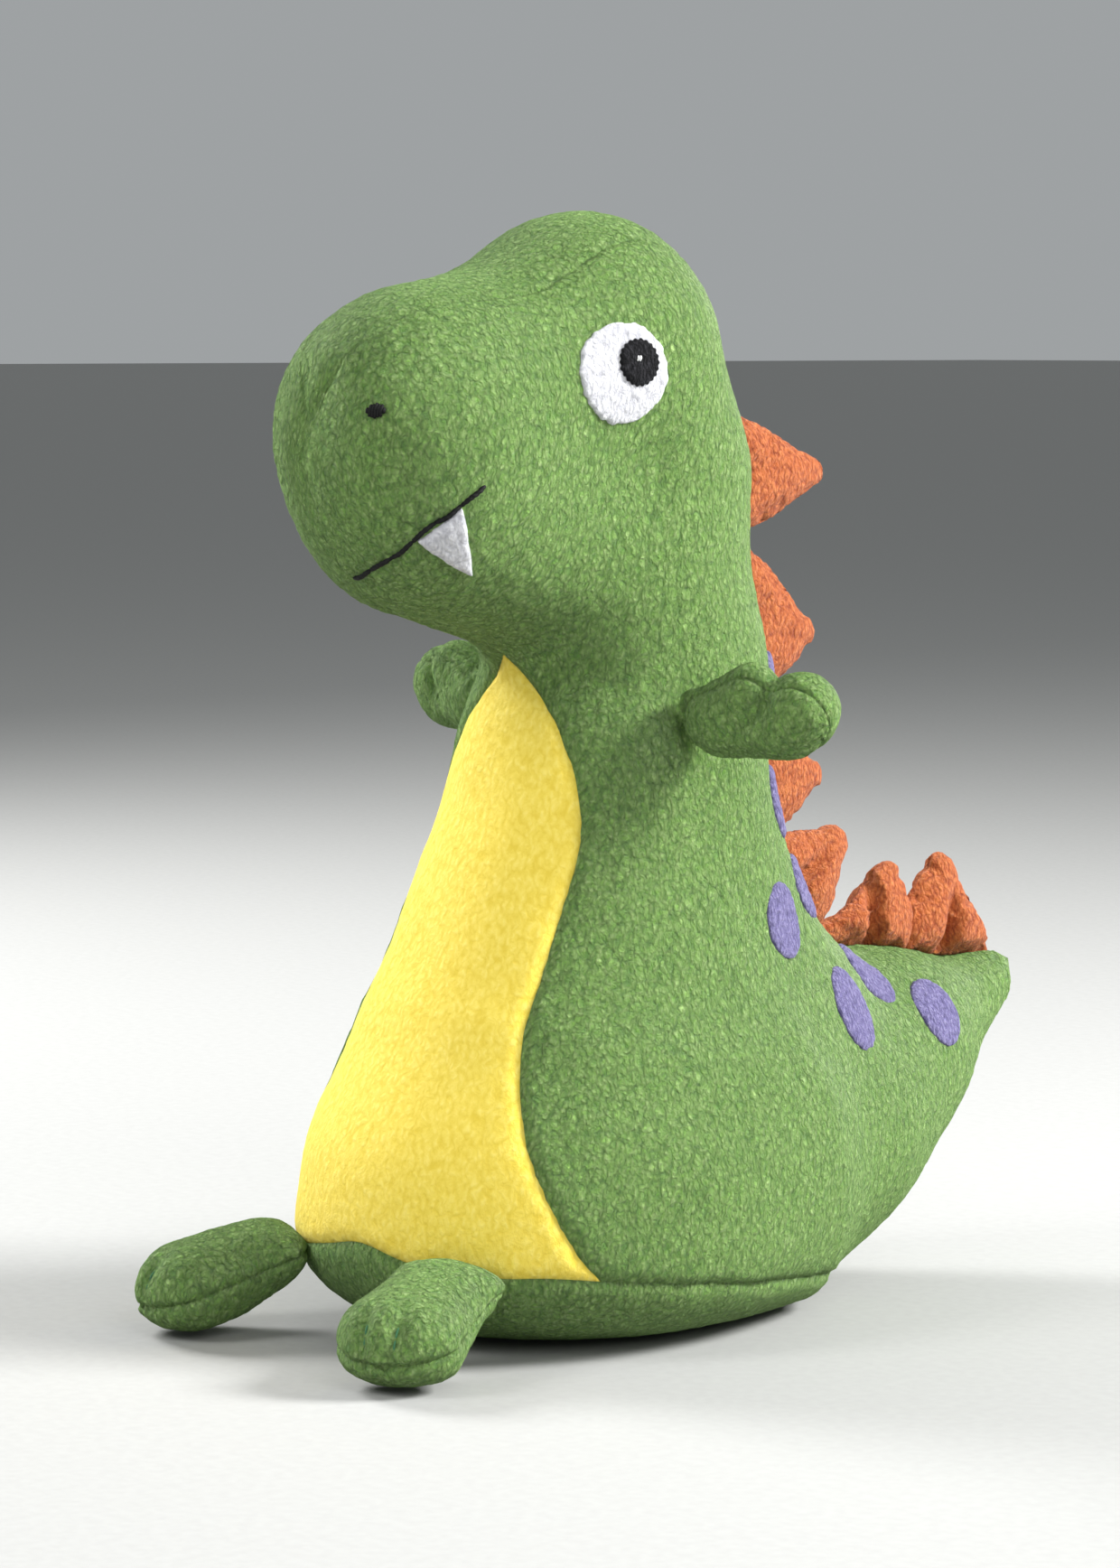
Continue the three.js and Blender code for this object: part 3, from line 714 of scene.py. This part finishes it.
def applique(place, outline, thickness, pile, seed, rise=0, rows=16):
    """Outer and inner layers and faces of a patch of cloth that lies on the body."""
    centre, _, across, over = place
    columns = len(outline)
    shares = 1 - (1 - np.arange(1, rows + 1) / rows) ** 1.7
    flat = outline[None] * shares[:, None, None]
    p = centre + flat[..., :1] * across + flat[..., 1:] * over
    p = drop_on(body_distance, np.vstack([p.reshape(-1, 3), centre]))
    share = np.append(np.repeat(shares, columns), 0)
    normal = normals_of(body_distance, p)
    lumps = body_lumps(p)
    crown = np.sqrt(1 - share**7)
    clumps = pile * lattice_noise(p, 1.7, seed) + 0.6 * pile * lattice_noise(p, 0.8, seed + 1)
    top = lumps + rise + (thickness + clumps) * crown
    outer = p + normal * top[:, None]
    inner = p + normal * (lumps + rise - 0.6)[:, None]
    grid = np.arange(rows * columns).reshape(rows, columns)
    turned = np.roll(grid, -1, axis=1)
    quads = np.stack([grid[:-1], grid[1:], turned[1:], turned[:-1]], axis=-1).reshape(-1, 4)
    faces = quads.tolist()
    faces += [[rows * columns, a, b] for a, b in zip(grid[0].tolist(), turned[0].tolist())]
    return outer, inner, faces


def lay_applique(name, node, cloth, material, slot, side):
    piece = shell(name, *cloth, side)
    finish_piece(piece, material, slot, "body", node)


SIDES = ((1, "left_"), (-1, "right_"))


def make_face():
    eye_place = patch_frame(EYE_AT, (0, 0, 1))
    eye_outline = ellipse(EYE_HALF, 260, ragged=0.42, seed=3)
    eye = applique(eye_place, eye_outline, FELT, pile=0.16, seed=21, rows=22)
    pupil_place = patch_frame(PUPIL_AT, (0, 0, 1))
    pupil_outline = ellipse(PUPIL_HALF, 176, ragged=0.1, seed=4, scallops=22)
    pupil = applique(pupil_place, pupil_outline, PUPIL_FELT, pile=0.12, seed=22, rise=FELT)
    corners = np.array(TOOTH_CORNERS)
    tooth_place = patch_frame(corners.mean(axis=0), (0, -0.6, 0.8))
    centre, _, across, over = tooth_place
    flat = np.stack([(corners - centre) @ across, (corners - centre) @ over], axis=1)
    tooth_outline = rounded(flat, 150, softness=1.9, ragged=0.22, seed=5)
    tooth = applique(tooth_place, tooth_outline, FELT, pile=0.14, seed=23)
    for side, word in SIDES:
        lay_applique(word + "eye_felt", word + "eye", eye, WHITE, "white_felt", side)
        lay_applique(word + "pupil_felt", word + "pupil", pupil, BLACK, "black_felt", side)
    lay_applique("left_tooth_felt", "left_tooth", tooth, WHITE, "white_felt", 1)
    place = patch_frame(HIGHLIGHT_AT, (0, 0, 1))
    on_pupil = 2.35
    stitches = [satin_stitch(place, (x, 0), (0.3, 1), 1.3, 0.3, on_pupil) for x in (-0.34, 0.34)]
    points, faces = joined(stitches)
    for side, word in SIDES:
        nostril = make_nostril(patch_frame(NOSTRILS[word], (0, 0, 1)))
        light = make_object(word + "eye_highlight_stitches", points, faces, side)
        finish_piece(light, WHITE_THREAD, "white_thread", "body", word + "eye_highlight")
        knot = make_object(word + "nostril_stitches", *nostril, side)
        finish_piece(knot, BLACK_THREAD, "black_thread", "body", word + "nostril")


def make_nostril(place):
    """A knot of seven threads side by side."""
    stitches = []
    for i, x in enumerate(np.linspace(-1, 1, 7)):
        height = 2 * NOSTRIL_HALF[1] * math.sqrt(1.08 - x * x) * (1.12 if i % 2 else 1)
        at = (x * NOSTRIL_HALF[0], 0)
        stitches.append(satin_stitch(place, at, (0.18, 1), height, radius=0.5, rise=0))
    return joined(stitches)


def satin_stitch(place, at, lean, length, radius, rise):
    """One short thread that arches over the cloth and goes down into it at both ends."""
    centre, _, across, over = place
    lean = np.array(lean) / np.linalg.norm(lean)
    along = np.linspace(-1, 1, 15)
    flat = np.array(at) + along[:, None] * lean * length / 2
    p = drop_on(body_distance, centre + flat[:, :1] * across + flat[:, 1:] * over)
    normal = normals_of(body_distance, p)
    height = body_lumps(p) + rise + radius * (1.9 * np.sqrt(1 - 0.98 * along**2) - 0.9)
    return strand(p + normal * height[:, None], normal, radius, pitch=1.6, sides=8)


def make_mouth():
    p = mouth_path(200)
    normal = normals_of(body_distance, p)
    steps = np.linalg.norm(np.diff(p, axis=0), axis=1)
    length = np.concatenate([[0], np.cumsum(steps)])
    stitches = round(length[-1] / MOUTH_STITCH)
    phase = length / length[-1] * stitches
    dip = np.abs(np.sin(np.pi * phase))
    sunk, stitch_rise = 0.75, 1.15
    height = body_lumps(p) - sunk + stitch_rise * dip**0.5
    height[[0, -1]] -= 0.8
    across = np.cross(np.gradient(p, axis=0), normal)
    across /= np.linalg.norm(across, axis=1)[:, None]
    sway = 0.28 * np.sin(np.pi * phase + 0.6) * dip
    path = p + normal * height[:, None] + across * sway[:, None]
    points, faces = strand(path, normal, MOUTH_THREAD, sides=12)
    mouth = make_object("mouth_thread", points, faces)
    finish_piece(mouth, BLACK_THREAD, "black_thread", "body", "mouth_stitch")


def make_spots():
    for number, (at, lean, half) in enumerate(SPOTS, 1):
        angle = math.radians(lean)
        place = patch_frame(at, (0, -math.sin(angle), math.cos(angle)))
        outline = ellipse(half, 150, ragged=0.3, seed=30 + number)
        spot = applique(place, outline, SPOT_FLEECE, pile=0.16, seed=40 + number)
        for side, word in SIDES:
            name = f"{word}spot_{number}"
            lay_applique(name + "_cloth", name, spot, PURPLE, "purple_fleece", side)


# ------------------------------------------------------------------ stuffed limbs


def inflate(points, faces, held, pressure, slack, travel):
    """Fills a bag of cloth with air. Held points stay, and none goes further than travel."""
    grown_scale = 10  # the solver is steadier on a bag ten times life size
    bag = make_object("bag", points * grown_scale, faces)
    bag.vertex_groups.new(name="held").add(held.tolist(), 1.0, "REPLACE")
    cloth = bag.modifiers.new("cloth", "CLOTH")
    settings = cloth.settings
    settings.quality = 5
    settings.mass = 0.2
    settings.tension_stiffness = 12
    settings.compression_stiffness = 12
    settings.shear_stiffness = 6
    settings.bending_stiffness = 0.4
    settings.shrink_min = settings.shrink_max = -slack
    settings.use_pressure = True
    settings.uniform_pressure_force = pressure
    settings.effector_weights.gravity = 0
    settings.vertex_group_mass = "held"
    cloth.collision_settings.use_collision = False
    scene = bpy.context.scene
    for step in range(1, 21):
        scene.frame_set(step)
    swollen = bag.evaluated_get(bpy.context.evaluated_depsgraph_get()).data
    place = np.empty(len(points) * 3)
    swollen.vertices.foreach_get("co", place)
    scene.frame_set(1)
    bpy.data.objects.remove(bag)
    move = place.reshape(-1, 3) / (grown_scale * MM) - points
    length = np.maximum(np.linalg.norm(move, axis=1), 1e-9)
    return points + move * (np.minimum(length, travel) / length)[:, None]


def ray_ball(distance_at, core, pole, start, rows, columns, level=0.0):
    """A form's skin, from rays out of its core: rows from the pole, columns turned from start."""
    pole, start = np.array(pole, float), np.array(start, float)
    third = np.cross(pole, start)
    polar = ((np.arange(rows) + 0.5) / rows * np.pi)[:, None, None]
    turn = (np.arange(columns) / columns * 2 * np.pi)[None, :, None]
    ring = np.cos(turn) * start + np.sin(turn) * third
    directions = (np.cos(polar) * pole + np.sin(polar) * ring).reshape(-1, 3)
    directions = np.vstack([directions, pole, -pole])
    origins = np.broadcast_to(np.array(core, float), directions.shape)
    return cast_out(distance_at, origins, directions, level)


ARM_FORM = [
    (0, (2.4, 0, 4.6), 2.9, (5, 0, -2), 3.4),
    (6, (12.5, 0, -2.9), 7.2, (32, 0, -1.4), 8),
    (5, (9, 0, 2.8), 7.4, (21.8, -1.5, 8.4), 8),
    (3.5, (35.2, 0.5, 3.9), (10.3, 10, 10.4)),
]
ARM_CORE, ARM_SWEEP, ARM_SEAM_LEAN = (23, 0, -2), 17, 28
FOOT_FORM = [
    (0, (0, -4, 0), (15.5, 4.5, 4.5)),
    (8, (-7.5, -11, -2.6), 7.6, (-6.5, -30.5, -10.3), 11),
    (8, (7.5, -11, -2.6), 7.6, (6.5, -30.5, -10.3), 11),
    (6, (0, -13, -2.6), 8.6, (0, -33, -10.6), 11.5),
]
FOOT_CORE, FOOT_SPLAY, FOOT_SEAM_SLOPE = (0, -22, -7), 24, 18
TOE_GAPS = (-5, 5)


def arm_distance(p):
    return form_distance(ARM_FORM, p)


def foot_distance(p):
    return floored(form_distance(FOOT_FORM, p), p[:, 2] + HEEL[2], 7)


def turned(p, degrees, origin):
    """Points of a limb's own frame, in the toy's frame."""
    angle = math.radians(degrees)
    c, s = math.cos(angle), math.sin(angle)
    return np.column_stack([p[:, 0] * c - p[:, 1] * s, p[:, 0] * s + p[:, 1] * c, p[:, 2]]) + origin


def first_half(faces, columns):
    """Splits a ball's faces at the line where its columns start and the line across from it."""
    column = np.tile(np.arange(columns), len(faces) // columns)
    first = [face for face, k in zip(faces, column) if k < columns // 2]
    return first, [face for face, k in zip(faces, column) if k >= columns // 2]


def seam_of(rows, columns):
    """Numbers of a ball's points on the line that first_half splits it at."""
    grid = np.arange(rows * columns).reshape(rows, columns)
    poles = [rows * columns, rows * columns + 1]
    return np.concatenate([grid[:, 0], grid[:, columns // 2], poles])


def groove_along(p, line, depth, width):
    """A crease along a line of points that are close together."""
    nearest = distance_to_points(p, evenly(line, 40), 3 * width)
    return depth * np.exp(-((nearest / width) ** 2))


START_INSET = 0.7  # a limb starts this much smaller than it is once filled
LIMB_FILLING_LEVEL = -3.0  # how far under the limb's surface its filling starts
TOE_THREAD = 0.32


def make_limb(limb, distance_at, core, pole, start, degrees, origin, words, detail):
    """Both limbs of a kind: two panels each, sewn along the line where the columns start."""
    rows, columns = ((84, 96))
    points = ray_ball(distance_at, core, pole, start, rows, columns, -START_INSET)
    faces = facing_out(points, ball_faces(rows, columns))
    seam = seam_of(rows, columns)
    from_seam = distance_to_points(points, points[seam], 8)
    points = inflate(points, faces, seam, pressure=3.0, slack=0.03, travel=1.2)
    normal = mesh_normals(points, faces)
    rise = detail(points, from_seam)
    rise += 0.25 * lattice_noise(points, 9, 51) + nap(points, NAP_RISE, 53)
    outer = points + normal * rise[:, None]
    if limb == "foot":
        outer[:, 2] = np.maximum(outer[:, 2], -HEEL[2])
    inner = points - normal * FLEECE
    fine = 24
    filling = ray_ball(distance_at, core, pole, start, fine, fine, LIMB_FILLING_LEVEL)
    for side, word in SIDES:
        body = f"{word}{limb}"
        for half, part in zip(first_half(faces, columns), words):
            cloth = (turned(outer, degrees, origin), turned(inner, degrees, origin), half)
            panel = shell(f"{body}_{part}_cloth", *cloth, side)
            finish_piece(panel, GREEN, "green_fleece", body, f"{body}_{part}")
        stuffing = make_object(f"{body}_filling", turned(filling, degrees, origin),
                               ball_faces(fine, fine), side)
        finish_piece(stuffing, FIBRE, "fibre_stuffing", body, f"{body}_stuffing")


def arm_detail(p, from_seam):
    """How far an arm's cloth rises or sinks: the seam, its puckers and the thumb's crease."""
    at_tip = np.clip((p[:, 0] - 39) / 4, 0, 0.8)
    rise = -0.6 * (1 - at_tip) * np.exp(-((from_seam / 0.8) ** 2))
    rise += 0.2 * lattice_noise(p, 3.2, 61) * np.exp(-((from_seam / 3.5) ** 2))
    crease = [(28, -3, 9), (28, -6.5, 6), (26.5, -8, 2.5), (23.5, -8.5, -0.5), (21, -8.2, -3)]
    rise -= groove_along(p, crease, 1.5, 1.7)
    return rise


def foot_detail(p, from_seam):
    """How far a foot's cloth rises or sinks: the seam, its puckers and the toes' creases."""
    rise = -0.9 * np.exp(-((from_seam / 1.1) ** 2))
    rise += 0.45 * lattice_noise(p, 4.0, 62) * np.exp(-((from_seam / 4.0) ** 2))
    for x in TOE_GAPS:
        fade = np.clip((-p[:, 1] - 34) / 8, 0, 1)
        line = [(x * 0.9, -35, 3), (x, -38.5, 0.5), (x, -42, -3), (x, -44.5, -7), (x, -45.5, -11)]
        rise -= groove_along(p, line, 2.0, 2.3) * fade
    return rise


def make_arms():
    lean = math.radians(ARM_SEAM_LEAN)
    start = (0, -math.sin(lean), math.cos(lean))
    make_limb("arm", arm_distance, ARM_CORE, (1, 0, 0), start, ARM_SWEEP, SHOULDER,
              ("front_panel", "back_panel"), arm_detail)


def make_feet():
    slope = math.radians(FOOT_SEAM_SLOPE)
    pole = (0, -math.cos(slope), -math.sin(slope))
    make_limb("foot", foot_distance, FOOT_CORE, pole, (1, 0, 0), FOOT_SPLAY, HEEL,
              ("top_panel", "sole_panel"), foot_detail)
    for number, x in enumerate(TOE_GAPS, 1):
        line = [(x, -42, -2.5), (x, -43.5, -4), (x, -44.5, -6), (x, -45.5, -8), (x, -46, -10)]
        share = np.linspace(0, 1, 60)
        in_crease = -1.9
        path = drop_on(foot_distance, evenly(catmull(line, share), 60), in_crease)
        out = normals_of(foot_distance, path)
        path = path + out * (0.5 * np.abs(np.sin(2 * np.pi * share)) - 0.4)[:, None]
        points, faces = strand(path, out, TOE_THREAD, pitch=1.4, sides=8)
        for side, word in SIDES:
            thread = make_object(f"{word}toe_thread_{number}", turned(points, FOOT_SPLAY, HEEL),
                                 faces, side)
            finish_piece(thread, GREEN_THREAD, "green_thread", word + "foot",
                         f"{word}toe_stitch_{number}")


# ------------------------------------------------------------------ spikes

SPIKES = [
    # ribs at the base's two ends, tip y and z, half of the tip's width, bulges below and above,
    # fold depth, place and lean of the fold
    ((15.72, 14.1), (88, 223.5), 4, (4, 4), 0.8, 0, 0),
    ((14.05, 12.05), (84.5, 179.5), 5, (7, 7), 0.8, 0, 0),
    ((12.0, 7.3), (88, 140), 4.8, (5, 6), 0.8, 0, 0),
    ((7.0, 4.1), (96.5, 123), 5.6, (4.5, 3), 4.4, 0.5, 0),
    ((4.05, 2.15), (114.5, 114), 5, (6, 0), 5.0, 4.2, -4),
    ((2.15, 0.15), (134, 115), 5.4, (2.5, 6), 5.4, -3.4, 3),
]
SPIKE_HALF_START = 4.4 * 0.92  # half of a spike's thickness before it is filled


def ridge(rib, level):
    """Points of the back's seam, by rib number."""
    middle, spread = ribs_at(np.asarray(rib) / (len(RIBS) - 1))
    in_plane = np.zeros(len(middle))
    origins, directions = np.column_stack([in_plane, middle]), np.column_stack([in_plane, spread])
    return cast_out(body_distance, origins, directions, level)[:, 1:]


def spike_outline(base, tip, blunt, bulges):
    """The outline of a spike, from its upper end along the back, then up its lower side."""
    foot = ridge(np.linspace(*base, 9), -0.8)
    upper, lower, top = foot[0], foot[-1], np.array(tip, float)
    middle = (upper + lower) / 2
    rise = top - middle
    down = (lower - upper) / np.linalg.norm(lower - upper)
    shares = np.array([0.25, 0.5, 0.75])[:, None]

    def flank(start, bulge):
        straight = start + (middle - start) * shares + rise * shares
        return straight + down * 4 * bulge * shares * (1 - shares)

    up = rise / np.linalg.norm(rise)
    turn = np.radians((75, 38, 0, -38, -75))[:, None]
    tip_points = top + blunt * (np.sin(turn) * down - (1 - np.cos(turn)) * up)
    sides = np.vstack([flank(lower, bulges[0]), tip_points, flank(upper, -bulges[1])[::-1]])
    return foot, sides, middle, rise, down


def make_spike(number, base, tip, blunt, bulges, fold, fold_at, fold_lean):
    """A spike of two layers, sewn along its edge, filled a little and folded near its base."""
    rows, columns = ((41, 112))
    middle_row = rows // 2
    foot, sides, middle, rise, down = spike_outline(base, tip, blunt, bulges)
    open_side = np.vstack([foot[-1:], sides, foot[:1]])
    curve = catmull(open_side, np.linspace(0, 1, 200))
    outline = evenly(np.vstack([foot, curve[1:]]), columns + 1)[:-1]
    centre = middle + 0.4 * rise
    polar = (np.arange(rows) + 1) * np.pi / (rows + 1)
    flat = centre + (outline - centre)[None] * (np.sin(polar) ** 0.8)[:, None, None]
    x = np.repeat(np.cos(polar), columns) * SPIKE_HALF_START
    points = np.column_stack([x, flat.reshape(-1, 2)])
    ends = [(s * SPIKE_HALF_START, *centre) for s in (1, -1)]
    points = np.vstack([points, ends])
    faces = facing_out(points, ball_faces(rows, columns))
    seam = np.arange(columns) + middle_row * columns
    from_seam = distance_to_points(points, points[seam], 8)
    points = inflate(points, faces, seam, pressure=2.5, slack=0.04, travel=1.4)
    height = (points[:, 1:] - middle) @ rise / (rise @ rise)
    along = (points[:, 1:] - middle) @ down
    valley = np.exp(-(((along - fold_at - fold_lean * height) / 2.4) ** 2))
    below_tip = np.clip((0.8 - height) / 0.45, 0, 1)
    waves = (valley - 0.35) * below_tip * np.clip(height / 0.12, 0, 1)
    points[:, 0] -= fold * waves
    normal = mesh_normals(points, faces)
    seam_groove = 0.5 * np.exp(-((from_seam / 0.8) ** 2))
    lift = 0.35 * lattice_noise(points, 8, 70 + number) - seam_groove
    lift += 0.15 * lattice_noise(points, 3.0, 80 + number) * np.exp(-((from_seam / 3.5) ** 2))
    lift += nap(points, NAP_RISE, 90)
    outer = points + normal * lift[:, None]
    inner = (points - (0, *centre)) * (0.35, 0.86, 0.86) + (0, *centre)
    inner[:, 0] -= 0.65 * fold * waves
    cut = middle_row * columns
    quads, caps = faces[:(rows - 1) * columns], faces[(rows - 1) * columns:]
    halves = {"left_": quads[:cut] + caps[:columns], "right_": quads[cut:] + caps[columns:]}
    for word, half in halves.items():
        name = f"{word}spike_{number}_layer"
        cloth = shell(name + "_cloth", outer, inner, half)
        finish_piece(cloth, ORANGE, "orange_fleece", f"spike_{number}", name)


def make_spikes():
    for number, spike in enumerate(SPIKES, 1):
        make_spike(number, *spike)


make_camera()
make_filling()
make_body()
make_face()
make_mouth()
make_spots()
make_arms()
make_feet()
make_spikes()

# ------------------------------------------------------------------ floor and light


def make_floor():
    size = 40000  # reaches the horizon
    corners = [(-size, -size, 0), (size, -size, 0), (size, size, 0), (-size, size, 0)]
    floor = make_object("floor", corners, [[0, 1, 2, 3]], smooth=False)
    material, tree, shader = node_tree("floor")
    place = tree.nodes.new("ShaderNodeTexCoord").outputs["Object"]
    grain = add_node(tree, "ShaderNodeTexNoise", Scale=300.0, Detail=3.0)
    tree.links.new(place, grain.inputs["Vector"])
    stops = [(0.3, (0.34, 0.34, 0.33)), (0.7, (0.36, 0.36, 0.35))]
    tree.links.new(ramp(tree, grain.outputs["Fac"], stops), shader.inputs["Base Color"])
    shader.inputs["Roughness"].default_value = 0.9
    floor.data.materials.append(material)


def area_light(name, location, target, size, power):
    data = bpy.data.lights.new(name, "AREA")
    data.size = size
    data.energy = power
    light = bpy.data.objects.new(name, data)
    light.location = location
    bpy.context.scene.collection.objects.link(light)
    look_at(light, target)


LIGHTS = [
    # name, place, width, power
    ("key", (-0.3, -1.25, 1.1), 0.6, 12),
    ("rim", (0.9, 0.95, 0.9), 0.5, 56),
    ("side", (-1.25, -0.1, 0.9), 0.5, 28),
    ("fill", (1.3, -0.4, 0.9), 0.9, 9),
]


def make_lights():
    for name, place, width, power in LIGHTS:
        area_light(name, place, (0, 0, 0.14), width, power)
    world = bpy.data.worlds.new("studio")
    world.use_nodes = True
    background = world.node_tree.nodes["Background"]
    background.inputs["Color"].default_value = (0.86, 0.9, 0.92, 1)
    background.inputs["Strength"].default_value = 0.4
    bpy.context.scene.world = world
    bpy.context.scene.view_settings.view_transform = "Standard"


make_floor()
make_lights()
